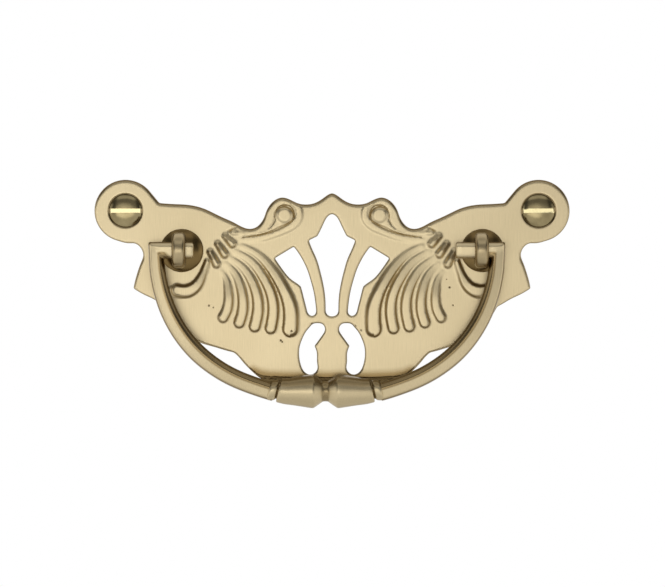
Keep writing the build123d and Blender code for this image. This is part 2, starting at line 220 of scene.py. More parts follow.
# Flutes from root to foot: spine, width, flank towards the middle, height at the root and at the foot
FLUTES = [
    ([(-23.6, -13.0), (-22.75, -14.3), (-22.15, -16.8), (-22.05, -19.2), (-22.5, -21.4), (-23.2, -22.75)],
     (1.2, 1.7, 2.1, 2.3, 2.5, 2.55), (0.4, 0.6), 0.04, 0.55),
    ([(-22.6, -11.35), (-20.9, -13.1), (-19.55, -16.0), (-18.95, -19.5), (-19.15, -21.9), (-19.75, -23.85)],
     (1.4, 1.8, 2.15, 2.4, 2.6, 2.65), (0.4, 0.62), 0.04, 0.6),
    ([(-21.7, -10.2), (-19.2, -12.0), (-17.1, -15.0), (-15.85, -18.9), (-15.9, -22.3), (-16.45, -24.65)],
     (1.5, 1.9, 2.25, 2.5, 2.7, 2.75), (0.4, 0.65), 0.05, 0.64),
    ([(-20.65, -8.75), (-17.4, -10.75), (-14.7, -14.1), (-12.75, -18.6), (-12.6, -22.7), (-13.05, -25.05)],
     (1.6, 2.0, 2.3, 2.5, 2.7, 2.75), (0.4, 0.68), 0.05, 0.68),
    ([(-19.1, -7.65), (-16.2, -9.15), (-13.0, -12.3), (-10.4, -16.4), (-8.75, -21.2), (-8.8, -25.2)],
     (1.6, 2.0, 2.5, 2.9, 3.5, 3.75), (0.45, 1.0), 0.06, 1.0),
]
# Spines of the other ridges and of the cut lines
BEADS = [[(-22.75, -5.5), (-21.2, -7.15)], [(-24.35, -7.15), (-22.85, -9.35)],
         [(-25.95, -8.85), (-24.6, -11.45)]]
BUD = [(-21.2, -4.7), (-18.8, -4.9)]
NICK = [(-22.0, -4.4), (-20.6, -3.6)]
LEAF = [(-26.55, -10.9), (-27.7, -14.0), (-29.25, -16.35), (-31.2, -17.2), (-33.0, -17.0)]
BOSS = (-10.15, -0.95)
SPIRAL = [(-12.15, -1.6), (-12.1, -0.5), (-11.4, 0.6), (-10.15, 1.05), (-8.8, 0.55), (-8.15, -0.75),
          (-8.45, -2.05), (-9.5, -2.85), (-11.2, -3.7), (-13.0, -4.45), (-15.0, -5.05), (-17.0, -5.4),
          (-19.0, -5.65)]
BAND = [(-19.2, -6.2), (-16.5, -5.95), (-13.4, -5.25), (-10.3, -4.1), (-8.1, -2.95), (-7.1, -1.6), (-7.0, -0.2),
        (-7.4, 0.9), (-8.4, 1.6)]
CREASE = [(-12.1, -1.7), (-12.6, -2.8), (-13.5, -3.75)]
# Step down along the foot: its line across the left half
LEDGE = [(-19.0, -40.0), (-17.4, -34.6), (-16.6, -34.5), (-15.0, -35.15), (-13, -35.45), (-8, -35.6),
         (0, -35.6)]
# Casting pits: place on the face, and size
PITS = [(-8.6, -25.6, 0.22), (-10.9, -27.6, 0.2), (-10.6, -27.9, 0.16), (-26.2, -20.2, 0.16),
        (-25.3, -20.6, 0.13), (-4.3, -24.0, 0.15), (25.05, -16.3, 0.2), (25.8, -20.1, 0.14),
        (6.15, -25.4, 0.18), (5.0, -24.45, 0.17), (24.4, -14.6, 0.1), (-30.6, -6.0, 0.12)]
# Shape of each ridge and cut on its spine: widths, both flanks, and height at the start and at the end
FLUTE_OUTER = (0.5, 0.6)
BEAD = ((1.95, 2.2), (1.0, 0.9), (1.0, 0.9), 0.45, 0.65)
RIDGES = [(spine, widths, inner, FLUTE_OUTER, low, high) for spine, widths, inner, low, high in FLUTES] + [
    (BUD, (1.5, 1.4), (0.7, 0.7), (0.7, 0.7), 0.26, 0.06),
    (LEAF, (1.75, 2.0, 2.7, 3.2, 3.1), (0.75, 0.8), (0.75, 0.8), 0.45, 0.8),
    (BAND, (1.3, 1.9, 2.1, 2.1, 2.1, 2.1, 2.0, 1.8, 1.3), (0.4, 0.4), (0.55, 0.5), 0.03, 0.2),
]
CUTS = [
    (SPIRAL, (0.3, 0.45, 0.75, 0.85, 0.6, 0.45, 0.6, 0.75, 0.65, 0.55, 0.5, 0.45, 0.3),
     (0.35, 0.3), (0.35, 0.3), 0.35, 0.35),
    (CREASE, (0.5, 0.55, 0.4), (0.3, 0.3), (0.3, 0.3), 0.2, 0.15),
    (NICK, (0.6, 0.5), (0.35, 0.3), (0.35, 0.3), 0.25, 0.2),
]
BOSS_RADIUS = 1.8
BOSS_HEIGHT = 0.3
LEDGE_DROP = 0.45


def ease(x):
    """Smooth step: 0 below 0, 1 above 1, and 3x^2 - 2x^3 between."""
    x = np.clip(x, 0.0, 1.0)
    return x * x * (3 - 2 * x)


def to_line(place, line):
    """Distance of each point from a line, the side it lies on (+1 to the left of its direction), and how far
    along it, 0 to 1.

    Each point is set against every straight step of the line at once, and keeps the nearest foot.
    """
    step = np.diff(line, axis=0)
    rel = place[:, None, :] - line[None, :-1]
    share = np.clip(np.einsum("ijk,jk->ij", rel, step) / np.sum(step**2, axis=1), 0.0, 1.0)
    gap = rel - share[..., None] * step[None]
    dist = np.sqrt(np.einsum("ijk,ijk->ij", gap, gap))
    best = np.argmin(dist, axis=1)
    row = np.arange(len(place))
    across = step[best, 0] * rel[row, best, 1] - step[best, 1] * rel[row, best, 0]
    return dist[row, best], np.where(across >= 0, 1, -1), (best + share[row, best]) / len(step)


def ridge(place, points, widths, inner, outer, low, high):
    """Height of a ridge along its spine, and the place along it, for every point.

    Across the ridge the height is its top times two soft shoulders, 3g^2 - 2g^3 with g the gap to that edge
    over the flank's width. Width, flanks and top run from one end to the other.
    """
    line = smooth_line(points, 0.4) if len(points) > 2 else even_steps(np.array(points, float), 0.3)
    reach = max(widths) / 2
    near = np.flatnonzero(np.all((place > line.min(axis=0) - reach) & (place < line.max(axis=0) + reach), axis=1))
    rise = np.zeros(len(place))
    run = np.zeros(len(place))
    dist, side, along = to_line(place[near], line)
    width = np.interp(along, np.linspace(0, 1, len(widths)), widths)
    inner = inner[0] + (inner[1] - inner[0]) * ease(along * 1.5)
    outer = outer[0] + (outer[1] - outer[0]) * ease((along - 0.1) / 0.75)
    to_inner = (width / 2 - side * dist) / np.minimum(inner, 0.8 * width)
    to_outer = (width / 2 + side * dist) / np.minimum(outer, 0.8 * width)
    top = low + (high - low) * ease(along * 1.5)
    rise[near] = top * ease(to_inner) * ease(to_outer)
    run[near] = along
    return rise, run


def bead_shade(place, ends, bead, run):
    """Painted shade on a bead: a share that grows with the offset towards the pull's middle, faded out towards the
    bead's lower end and its edge."""
    down = np.subtract(*reversed(ends)) / np.linalg.norm(np.subtract(*ends))
    inward = down[0] * (place[:, 1] - ends[0][1]) - down[1] * (place[:, 0] - ends[0][0])
    shaded = 0.12 + 0.36 * ease((inward + 0.25) / 0.6)
    return shaded * ease((0.8 - run) / 0.3) * ease(bead / 0.3)


def carving(place):
    """Height of the relief over the flat face, and its painted shade: a painted shadow above the step along the foot,
    and painted shade on the beads.

    The height is the highest ridge at each point, less the deepest cut line and the step along the foot. Both
    halves are the same, so points on the right are read as their mirror images.
    """
    place = np.stack([-np.abs(place[:, 0]), place[:, 1]], axis=1)
    rise = BOSS_HEIGHT * ease((BOSS_RADIUS - np.linalg.norm(place - BOSS, axis=1)) / 0.6)
    for shape in RIDGES:
        rise = np.maximum(rise, ridge(place, *shape)[0])
    groove = np.max([ridge(place, *cut)[0] for cut in CUTS], axis=0)
    under = np.interp(place[:, 0], *np.array(LEDGE).T) - place[:, 1]
    # Painted shadow of the moulding: a brown band that darkens down towards the step along the foot.
    dark_mark = 0.95 * ease((under + 2.3) / 1.8)
    for ends in BEADS:
        bead, run = ridge(place, ends, *BEAD)
        rise = np.maximum(rise, bead)
        dark_mark = np.maximum(dark_mark, bead_shade(place, ends, bead, run))
    return rise - groove - LEDGE_DROP * ease(under / 0.5), dark_mark


def steepness(place):
    """Slope of the carving at each point, from small steps across and up, and how far it faces down, -1 to 1."""
    probe = 0.08
    here = carving(place)[0]
    across, up = [(carving(place + step)[0] - here) / probe for step in ((probe, 0), (0, probe))]
    slope = np.hypot(across, up)
    return slope, up / np.maximum(slope, 0.01)


def lattice(low, high, pitch):
    """Points of an even triangular lattice over a box."""
    x = np.arange(low[0], high[0], pitch)
    z = np.arange(low[1], high[1], pitch * 0.866)
    grid_x, grid_z = np.meshgrid(x, z)
    grid_x = grid_x + (np.arange(len(z)) % 2)[:, None] * pitch / 2
    return np.stack([grid_x.ravel(), grid_z.ravel()], axis=1)


BLOCK = 4000


def near_loops(place, loops, normals):
    """Signed distance of each point from the nearest loop, positive in the metal and negative outside, and how
    far that edge faces up, from -1 to 1.

    The nearest loop point is found for a block of points at a time, and the gap to it is measured along
    that point's normal, or straight where the normal isn't what separates them.
    """
    rim = np.vstack(loops).astype(np.float32)
    normal = np.vstack(normals)
    out = np.empty(len(place))
    upward = np.empty(len(place))
    for first in range(0, len(place), BLOCK):
        part = slice(first, first + BLOCK)
        block = place[part]
        gap = ((block[:, None, :].astype(np.float32) - rim[None]) ** 2).sum(axis=2)
        best = np.argmin(gap, axis=1)
        rel = block - rim[best]
        across = np.einsum("ij,ij->i", rel, normal[best])
        straight = np.linalg.norm(rel, axis=1)
        slide = np.sqrt(np.maximum(straight**2 - across**2, 0.0))
        size = np.where(slide < STEP, np.abs(across), straight)
        out[part] = np.sign(across) * size
        upward[part] = -normal[best, 1]
    return out, upward


def mark_shade_and_tarnish(piece, values):
    """Store each point's share of painted shade and brown, 0 to 1, for its finish to read."""
    mark = piece.data.attributes.new("shade_and_tarnish", "FLOAT", "POINT")
    mark.data.foreach_set("value", np.asarray(values, np.float32))


def round_off(gap, wide, deep):
    """Depth lost to a rounded edge at each gap from it: a quarter of an ellipse, wide by deep."""
    inward = np.clip(1 - gap / wide, 0, 1)
    return deep * (1 - np.sqrt(1 - inward**2))


def triangles(flat, borders, loops, normals):
    """Delaunay triangles of flat points with the loops' points first, kept where they lie in the metal.

    Only a triangle whose three points all lie on loops can be outside it, so only those are tried, at
    their middles. Also gives the place of each point that went in.
    """
    made = delaunay_2d_cdt(flat.tolist(), borders.tolist(), [], 0, 1e-6, True)
    face = np.array([tuple(v) for v in made[0]])
    tris = np.array(made[2])
    order = np.empty(len(flat), int)
    order[[ids[0] for ids in made[3]]] = np.arange(len(face))
    on_loop = np.zeros(len(face), bool)
    on_loop[order[:len(borders)]] = True
    doubtful = np.flatnonzero(on_loop[tris].all(axis=1))
    outside = near_loops(face[tris[doubtful]].mean(axis=1), loops, normals)[0] < 0
    return face, np.delete(tris, doubtful[outside], axis=0), order


def new_piece(name, verts, faces, sharp=40.0):
    """Mesh object from points in millimetres, smooth-shaded, with its sharp edges kept."""
    mesh = bpy.data.meshes.new(name)
    mesh.from_pydata((np.asarray(verts) * MM).tolist(), [], faces)
    mesh.validate()
    mesh.shade_smooth()
    mesh.set_sharp_from_angle(angle=np.radians(sharp))
    piece = bpy.data.objects.new(name, mesh)
    bpy.context.scene.collection.objects.link(piece)
    return piece


# Slope from which the ground counts as carved, and the band along each edge that its rings fill
CARVED = 0.2
EDGE_BAND = 0.85
PIERCING_ROUND = 0.4
# Rings that carry a loop to the back, as shift into the metal and depth: edges and piercings, sinks, tail holes
EDGE_WALL = [(0, -0.18), (0.15, 0.0)]
SINK_WALL = [(-1.72, -0.28), (-1.75, -0.12), (-1.63, 0.0)]
TAIL_WALL = [(0, -0.5), (0.5, 0.0)]
# Painted shade on the walls down from the face, which draw dark outlines at the edges, and the brown of the back
WALL_SHADE = 0.9
BACK_DULL = 0.6


def face_points(loops, normals):
    """Points of the face inside its loops: rings that close up towards each edge with the cosine of an angle, an
    even lattice on flat ground, a fine one where the carving is steep, and a dense patch at each pit."""
    rings = []
    for depth in 0.8 * (1 - np.cos(np.radians([14, 30, 46, 62, 78, 92]))):
        ring = np.vstack([loop + depth * normal for loop, normal in zip(loops, normals)])
        rings.append(ring[near_loops(ring, loops, normals)[0] > 0.96 * depth])
    span = np.vstack(loops)
    grid = lattice(span.min(axis=0), span.max(axis=0), 0.34)
    grid = grid[(near_loops(grid, loops, normals)[0] > EDGE_BAND) & (steepness(grid)[0] < CARVED)]
    fine = lattice(np.array([-35.5, -36.6]), np.array([-0.1, 3.0]), 0.125)
    fine = fine[steepness(fine)[0] >= CARVED]
    speck = lattice(np.array([-0.4, -0.4]), np.array([0.4, 0.4]), 0.1)
    specks = (np.array(PITS)[:, None, :2] + speck[None]).reshape(-1, 2)
    fine = np.vstack([fine, fine * (-1, 1), specks])
    return np.vstack(rings + [grid, fine[near_loops(fine, loops, normals)[0] > EDGE_BAND]])


def face_relief(face, loops, normals):
    """Depth of each point of the face, and its painted shade and brown. The loops are the outline, five piercings and
    the holes.

    The depth is the plate's front, less a quarter-round along each edge, plus the carving, less the pits. The
    brown mark adds up painted shade on steep flanks, more where they face down, the brown pits, a painted dark rim
    along each edge that is wider where it faces up, and a painted shadow ring round each screw hole.
    """
    from_outline, upward = near_loops(face, loops[:1], normals[:1])
    from_piercing, _ = near_loops(face, loops[1:6], normals[1:6])
    from_hole, _ = near_loops(face, loops[6:8], normals[6:8])
    top_edge = ease(upward * 1.4)
    drop = round_off(from_outline, 0.4 + 0.4 * top_edge, 0.35 + 0.25 * top_edge)
    drop = drop + round_off(from_piercing, PIERCING_ROUND, PIERCING_ROUND)
    drop += 0.12 * ease((0.14 - from_hole) / 0.14)
    rise, dark_mark = carving(face)
    rise = rise * ease((np.minimum(from_outline, from_piercing) + 0.1) / 0.5)
    pits = np.zeros(len(face))
    for pit_x, pit_z, size in PITS:
        pits = np.maximum(pits, ease(1.3 - np.hypot(face[:, 0] - pit_x, face[:, 1] - pit_z) / size))

    steep, faces_down = steepness(face)
    # Painted shade: dark relief flanks, darker where they face down, and dark rims along the edges, wider and with a
    # further band where they face up; the pits are brown.
    rim = 0.22 + 0.38 * top_edge
    shade_and_tarnish = np.maximum((0.62 + 0.24 * faces_down) * ease((steep - 0.5) / 1.7), dark_mark) + pits
    shade_and_tarnish = shade_and_tarnish + 0.85 * ease((rim - from_outline) / rim * 1.4)
    shade_and_tarnish = shade_and_tarnish + 0.2 * top_edge * ease((0.8 - from_outline) / 0.6)
    # Painted shade: a dark line round each piercing, and a painted shadow ring in each screw hole's sink.
    shade_and_tarnish = shade_and_tarnish + 0.9 * ease((0.22 - from_piercing) / 0.22)
    shade_and_tarnish = shade_and_tarnish + 0.7 * ease((0.14 - from_hole) / 0.12)
    return PLATE_FRONT + drop - rise + 0.15 * pits, np.clip(shade_and_tarnish, 0, 1)


def make_backplate():
    """Plate as a height field: its face is triangulated between its loops and set to its depth. Walls carry each
    loop to the back, where the loops are triangulated once more."""
    screw_hole = closed_loop([arc((-SCREW_X, 0), SCREW_HOLE, 0, 360)[:-1]], False, 0, STEP, clockwise=True)
    tail_hole = closed_loop([arc((-POST_X, POST_Z), TAIL_HOLE, 0, 360)[:-1]], False, 0, STEP, clockwise=True)
    loops = [plate_outline(), tulip(), side_light(), mirrored(side_light()), crescent(), mirrored(crescent()),
             screw_hole, mirrored(screw_hole), tail_hole, mirrored(tail_hole)]
    walls = [EDGE_WALL] * 6 + [SINK_WALL] * 2 + [TAIL_WALL] * 2
    normals = [into_metal(loop) for loop in loops]
    starts = np.cumsum([0] + [len(loop) for loop in loops])
    borders = np.vstack([
        np.stack([np.arange(a, b), np.append(np.arange(a + 1, b), a)], axis=1)
        for a, b in zip(starts[:-1], starts[1:])])
    flat = np.vstack(loops + [face_points(loops, normals)])
    face, tris, order = triangles(flat, borders, loops, normals)
    depth, dark_mark = face_relief(face, loops, normals)
    verts = [np.stack([face[:, 0], depth, face[:, 1]], axis=1)]
    shade_and_tarnish = [dark_mark]

    total = len(face)
    faces = tris.tolist()
    back_loops = []
    back_ids = []
    for loop, normal, wall, first in zip(loops, normals, walls, starts):
        above = order[np.arange(first, first + len(loop))]
        for offset, y in wall:
            ring = loop + offset * normal
            verts.append(np.stack([ring[:, 0], np.full(len(ring), y), ring[:, 1]], axis=1))
            # Painted shade: the walls under the face are dark and draw the edges' outlines; the back rings are brown.
            shade_and_tarnish.append(np.full(len(ring), WALL_SHADE if y < -0.05 else BACK_DULL))
            below = total + np.arange(len(ring))
            total += len(ring)
            faces += np.stack([above, below, np.roll(below, -1), np.roll(above, -1)], axis=1).tolist()
            above = below
        back_loops.append(ring)
        back_ids.append(above)
    back_face, back_tris, back_order = triangles(np.vstack(back_loops), borders, back_loops, normals)
    came_from = np.empty(len(back_face), int)
    came_from[back_order] = np.concatenate(back_ids)
    faces += came_from[back_tris][:, ::-1].tolist()

    piece = new_piece("plate_carved", np.vstack(verts), faces)
    mark_shade_and_tarnish(piece, np.concatenate(shade_and_tarnish))
    return piece


# ---------------------------------------------------------------- bail, posts and threads

ROD_SIDES = 72
# The rod's front is dressed flat: distance of the plane as a share of the radius, its lean on the pins and on the
# arms, and the power that eases it into the round
DRESSED = 0.84
PIN_LEAN = 0.1
ARM_LEAN = -0.2
POWER = 20.0
# Rounding where pin and arm meet, and where the pins' tips end, left and right
CORNER = 0.45
PIN_TIP_LEFT = 29.3
PIN_TIP_RIGHT = 26.2
# The moulding's grooves, from its middle, and its two ends' lean, as a share of the height, and lift
GROOVE_X = 10.03
END_LEAN = 0.25
END_LIFT = 0.25


def skin(rings):
    """Faces of a grid of rings, wrapped round each ring; each end closes on its first or last ring."""
    count, around = rings
    ids = np.arange(count * around).reshape(count, around)
    beside = np.roll(ids, -1, axis=1)
    quads = np.stack([ids[:-1], beside[:-1], beside[1:], ids[1:]], axis=2).reshape(-1, 4)
    return quads.tolist() + [ids[0][::-1].tolist(), ids[-1].tolist()]


def joined(shells):
    """Several shells of points and faces as one list of each."""
    verts = np.vstack([v for v, _ in shells])
    shift = np.cumsum([0] + [len(v) for v, _ in shells])
    return verts, [[i + s for i in face] for (_, faces), s in zip(shells, shift) for face in faces]


def turned(profile, origin, axis, around=96):
    """A profile of (along, radius) pairs turned about an axis through the origin: a point is the origin plus
    along times the axis plus radius times the turning direction."""
    profile = np.array(profile, float)
    axis = np.array(axis, float)
    side = np.array([0, 0, 1.0])
    other = np.cross(axis, side)
    turn = np.linspace(0, 2 * np.pi, around, endpoint=False)
    out = np.cos(turn)[:, None] * side + np.sin(turn)[:, None] * other
    verts = np.array(origin) + profile[:, None, :1] * axis + profile[:, None, 1:] * out[None]
    return verts.reshape(-1, 3), skin(verts.shape[:2])


def rod_section(radius, lean):
    """Rings of the bail's rod: a circle whose front is dressed flat, the lesser of the circle and a plane that
    leans by the share given, eased into each other. One row for each radius and lean."""
    radius = np.asarray(radius)[:, None]
    turn = np.linspace(0, 2 * np.pi, ROD_SIDES, endpoint=False)
    out = np.cos(turn) * np.ones(len(radius))[:, None]
    front = -np.sin(turn) * np.ones(len(radius))[:, None]
    plane = DRESSED + np.asarray(lean)[:, None] * out
    flat = (np.maximum(front, 0.001) ** -POWER + plane**-POWER) ** (-1 / POWER)
    front = np.where(front > 0, flat, front)
    return radius * out, -radius * front


def between(first, last, count):
    """Rings at even shares of the way from one ring to another, without the two."""
    share = np.linspace(0, 1, count + 2)[1:-1, None, None]
    return first + (last - first) * share


def bail_rod(side, tip_x):
    """One half of the bail's rod, ring by ring: a rounded tip, the pin, a small corner where pin and arm meet in
    a mitre, and the arm, whose axis is a spline through points given as angle and distance from the pins'
    middle. Each ring is the axis plus the section's offset along the axis's normal."""
    angle, away = np.radians(np.array(ARM)[:, 0]), np.array(ARM)[:, 1]
    axis = smooth_line(np.stack([away * np.cos(angle), POST_Z - away * np.sin(angle)], axis=1), 0.6, start=(0, -1))
    run = np.concatenate([[0.0], np.cumsum(np.linalg.norm(np.diff(axis, axis=0), axis=1))])
    along = np.gradient(axis, axis=0)
    along /= np.linalg.norm(along, axis=1)[:, None]
    arm = np.flatnonzero(run > 3.0)
    out, deep = rod_section(np.interp(run[arm], *np.array(ARM_RADIUS).T), np.full(len(arm), ARM_LEAN))
    arms = np.stack([axis[arm, :1] - along[arm, 1:] * out, deep, axis[arm, 1:] + along[arm, :1] * out], axis=2)

    tip = np.array([0.0, 0.07, 0.18, 0.34])
    out, deep = rod_section(ROD_RADIUS * np.array([0.82, 0.9, 0.96, 1.0]), np.full(4, PIN_LEAN))
    tips = np.stack([tip_x + tip[:, None] + 0 * out, deep, POST_Z + out], axis=2)

    turn = np.radians(np.linspace(0, 90, 9))
    out, deep = rod_section(np.linspace(ROD_RADIUS, ARM_RADIUS[0][1], 9), np.linspace(PIN_LEAN, ARM_LEAN, 9))
    corners = np.stack([
        axis[0, 0] + out - CORNER + CORNER * np.sin(turn)[:, None], deep,
        POST_Z + out - CORNER + CORNER * np.cos(turn)[:, None]], axis=2)
    verts = np.concatenate([tips, between(tips[-1], corners[0], 7), corners, between(corners[-1], arms[0], 3), arms])
    verts[..., 0] = side * verts[..., 0] + BAIL_X
    verts[..., 1] += PIN_Y
    faces = skin(verts.shape[:2])
    return verts.reshape(-1, 3), faces if side < 0 else [face[::-1] for face in faces]


def bail_shade_and_brown(verts):
    """Brown on the rod's inner and back flanks, and painted shade as a dark line along its outer edge.

    The flank is read from the offset towards the pull's middle, and on the pins from the offset downwards.
    """
    grid = verts.reshape(-1, ROD_SIDES, 3)
    axis = grid.mean(axis=1, keepdims=True)
    out = grid - axis
    middle = np.array([BAIL_X, PIN_Y, POST_Z - 1.0])
    inward = middle - axis
    inward[..., 1] = 0
    on_pin = (np.abs(axis[..., 0] - BAIL_X) < ARM[0][1] - 2.2) & (axis[..., 2] > POST_Z - 2.0)
    inward = np.where(on_pin[..., None], np.array([0, 0, -1.0]), inward)
    inward /= np.linalg.norm(inward, axis=2, keepdims=True)
    share = np.einsum("ijk,ijk->ij", out, inward)
    share /= share.max(axis=1, keepdims=True)
    start = np.where(on_pin, 0.8, 0.06)
    back = ease((out[..., 1] / ROD_RADIUS - 0.45) / 0.3)
    flank = 0.85 * ease((share - start) / 0.2)
    # Painted shade: a dark line along the rod's outer edge.
    outer_edge = 0.9 * ease((-share - 0.74) / 0.12)
    return np.max([flank, 0.6 * back, outer_edge], axis=0).ravel()


def moulding_shade_and_brown(verts):
    """Painted shade on the moulding's upper side and underside, and brown on its back, neck and grooves."""
    rel = verts - (MOULDING_X, PIN_Y, MOULDING_Z)
    radius = np.maximum(np.hypot(rel[:, 1], rel[:, 2]), 0.01)
    # Painted shade: darker on the upper side and on the underside.
    up = ease((rel[:, 2] / radius - 0.2) / 0.3)
    under = ease((-rel[:, 2] / radius - 0.8) / 0.2)
    back = ease((rel[:, 1] / radius - 0.3) / 0.3)
    neck = ease((1.0 - np.abs(rel[:, 0])) / 0.4)
    groove = ease((0.3 - np.abs(np.abs(rel[:, 0]) - GROOVE_X)) / 0.2)
    return np.max([0.8 * up, 0.5 * under, 0.6 * back, 0.7 * neck, 0.8 * groove, np.full(len(rel), 0.08)], axis=0)


def leant(verts):
    """The moulding with its two ends lifted and leant to stand square to the arms: a shear by height that grows
    towards each end."""
    rel = verts - (MOULDING_X, PIN_Y, MOULDING_Z)
    end = np.abs(rel[:, 0])
    lean = np.sign(rel[:, 0]) * END_LEAN * ease((end - 6.0) / 4.0)
    lift = END_LIFT * ease((end - 8.0) / 2.5)
    return verts + np.stack([-lean * rel[:, 2], np.zeros(len(rel)), lift], axis=1)


def make_bail():
    """Bail: two swept rods, and between them a moulding turned about the pull's width."""
    collar = [(-11.95, 0.02), (-11.95, 1.84), (-11.89, 1.98), (-11.73, 2.1), (-11.45, 2.18), (-11.05, 2.2),
              (-10.65, 2.18), (-10.4, 2.1), (-10.25, 1.99), (-10.16, 1.88), (-10.08, 1.82), (-9.98, 1.82),
              (-9.92, 1.88), (-9.9, 2.15), (-9.86, 2.36), (-9.76, 2.49), (-9.6, 2.55)]
    cone = np.stack([np.linspace(-9.2, -3.3, 10), np.linspace(2.61, 3.54, 10)], axis=1)
    shoulder = [(-3.0, 3.575), (-2.8, 3.59), (-2.62, 3.58), (-2.46, 3.53), (-2.3, 3.44), (-1.9, 3.16),
                (-1.5, 2.88), (-1.1, 2.6), (-0.9, 2.46)]
    neck = [(-0.78, 2.36), (-0.64, 2.26), (-0.45, 2.19), (-0.2, 2.17), (0.0, 2.16)]
    half = np.vstack([collar, cone, shoulder, neck])
    whole = np.vstack([half, half[-2::-1] * (-1, 1)])
    moulding = turned(whole, (MOULDING_X, PIN_Y, MOULDING_Z), (1, 0, 0), around=112)
    left = bail_rod(-1, PIN_TIP_LEFT + BAIL_X)
    right = bail_rod(1, PIN_TIP_RIGHT - BAIL_X)
    shades = [bail_shade_and_brown(left[0]), bail_shade_and_brown(right[0]), moulding_shade_and_brown(moulding[0])]
    moulding = (leant(moulding[0]), moulding[1])
    piece = new_piece("bail_turned", *joined([left, right, moulding]))
    mark_shade_and_tarnish(piece, np.concatenate(shades))
    return piece


RING_SIDES = 96
RING_HALF = 1.45
RING_RADIUS = 3.75
RING_ROUND = 0.9
BORE_RADIUS = ROD_RADIUS + 0.08
BORE_ROUND = 0.3
TAIL_RADIUS = 1.75


def make_eye_post(name, side):
    """Post: a round-edged ring turned about the pin, and a domed flange with its tail turned about the depth."""
    post_x = side * POST_X
    corner = np.radians(np.linspace(0, 90, 7))
    outer = np.stack([
        RING_HALF - RING_ROUND + RING_ROUND * np.sin(corner), RING_RADIUS - RING_ROUND + RING_ROUND * np.cos(corner)])
    inner = np.stack([
        RING_HALF - BORE_ROUND + BORE_ROUND * np.cos(corner), BORE_RADIUS + BORE_ROUND - BORE_ROUND * np.sin(corner)])
    right = np.hstack([outer, inner]).T
    ring_profile = np.vstack([right, right[::-1] * (-1, 1)])
    turn = np.linspace(0, 2 * np.pi, RING_SIDES, endpoint=False)
    ring = np.stack([
        post_x + RING_SHIFT + np.repeat(ring_profile[None, :, 0], RING_SIDES, axis=0),
        PIN_Y + ring_profile[None, :, 1] * np.cos(turn)[:, None],
        POST_Z + ring_profile[None, :, 1] * np.sin(turn)[:, None]], axis=2)
    ids = np.arange(RING_SIDES * len(ring_profile)).reshape(RING_SIDES, -1)
    nxt = np.roll(ids, -1, axis=0)
    ring_faces = np.stack([ids, nxt, np.roll(nxt, -1, axis=1), np.roll(ids, -1, axis=1)], axis=2).reshape(-1, 4)
    dome = smooth_line([(0.0, 1.95), (1.5, 1.9), (2.9, 1.55), (3.9, 1.05), (4.45, 0.62)], 0.22, start=(1, 0))
    rim = [(4.56, 0.48), (4.6, 0.32), (4.6, 0.12), (4.5, 0.0)]
    profile = [(PLATE_FRONT - y, max(r, 0.02)) for r, y in dome] + [(PLATE_FRONT - y, r) for r, y in rim]
    profile += [(PLATE_FRONT, TAIL_RADIUS), (-0.5, TAIL_RADIUS), (0.0, TAIL_RADIUS + 0.5), (0.0, 0.02)]
    flange = turned(profile, (post_x, 0, POST_Z), (0, 1, 0))
    piece = new_piece(name, *joined([(ring.reshape(-1, 3), ring_faces.tolist()), flange]))
    # The ring is brown, darker on its sides as painted shade; the flange is dark brown all over.
    crown = ease((np.abs(ring_profile[:, 0]) - 0.75) / 0.5)
    ring_shade_and_brown = np.repeat((0.45 + 0.45 * crown)[None], RING_SIDES, axis=0).ravel()
    mark_shade_and_tarnish(piece, np.concatenate([ring_shade_and_brown, np.full(len(flange[0]), 1.0)]))
    return piece


def make_thread(name, side):
    """Wood-screw thread: a ridge of triangular section carried round the shank on a helix, its height
    growing from nothing at the shank and fading at the point."""
    turns = 6.2
    count = 330
    start = 3.6
    length = 9.4
    sunk = -0.12
    shank = [(0, 1.7), (3.5, 1.7), (4.1, 1.16), (11.5, 1.16), (13.9, 0.12)]
    share = np.linspace(0, 1, count)
    turn = share * turns * 2 * np.pi
    y = start + share * length
    core = np.interp(y, *np.array(shank).T)
    crest = np.interp(share, [0, 0.1, 0.9, 1], [0.05, 0.5, 0.5, 0.05])
    section = [(0.42, 0.0), (0.1, 1.0), (-0.1, 1.0), (-0.42, 0.0)]
    radial = np.stack([np.cos(turn), np.zeros(count), np.sin(turn)], axis=1)
    verts = np.stack([
        np.array([side * SCREW_X, 0, 0]) + radial * (core + np.where(high > 0, high * crest, sunk))[:, None]
        + np.stack([np.zeros(count), y + wide, np.zeros(count)], axis=1)
        for wide, high in section], axis=1)
    faces = [face[::-1] for face in skin(verts.shape[:2])]
    return new_piece(name, verts.reshape(-1, 3), faces, sharp=30.0)


# ---------------------------------------------------------------- finishes

# The satin face's two tones and the brown of its painted shade and dark marks, then the screw head's two tones and
# the painted highlight of its slot
SATIN_DEEP = (0.56, 0.455, 0.27, 1)
SATIN_PALE = (0.68, 0.565, 0.35, 1)
SHADE_AND_TARNISH_BROWN = (0.15, 0.094, 0.03, 1)
HEAD_DEEP = (0.17, 0.13, 0.06, 1)
HEAD_PALE = (0.4, 0.33, 0.18, 1)
SLOT_HIGHLIGHT = (0.74, 0.64, 0.36, 1)


def node_maker(tree):
    """A maker of nodes in a tree, with their settings, and the tree's own way to link them."""

    def add(kind, **settings):
        node = tree.nodes.new(kind)
        for key, value in settings.items():
            setattr(node, key, value)
        return node

    return add, tree.links.new


def finish_tree(name):
    """A new material, its Principled shader, a maker of further nodes and a way to link them."""
    finish = bpy.data.materials.new(name)
    finish.use_nodes = True
    return finish, finish.node_tree.nodes["Principled BSDF"], *node_maker(finish.node_tree)


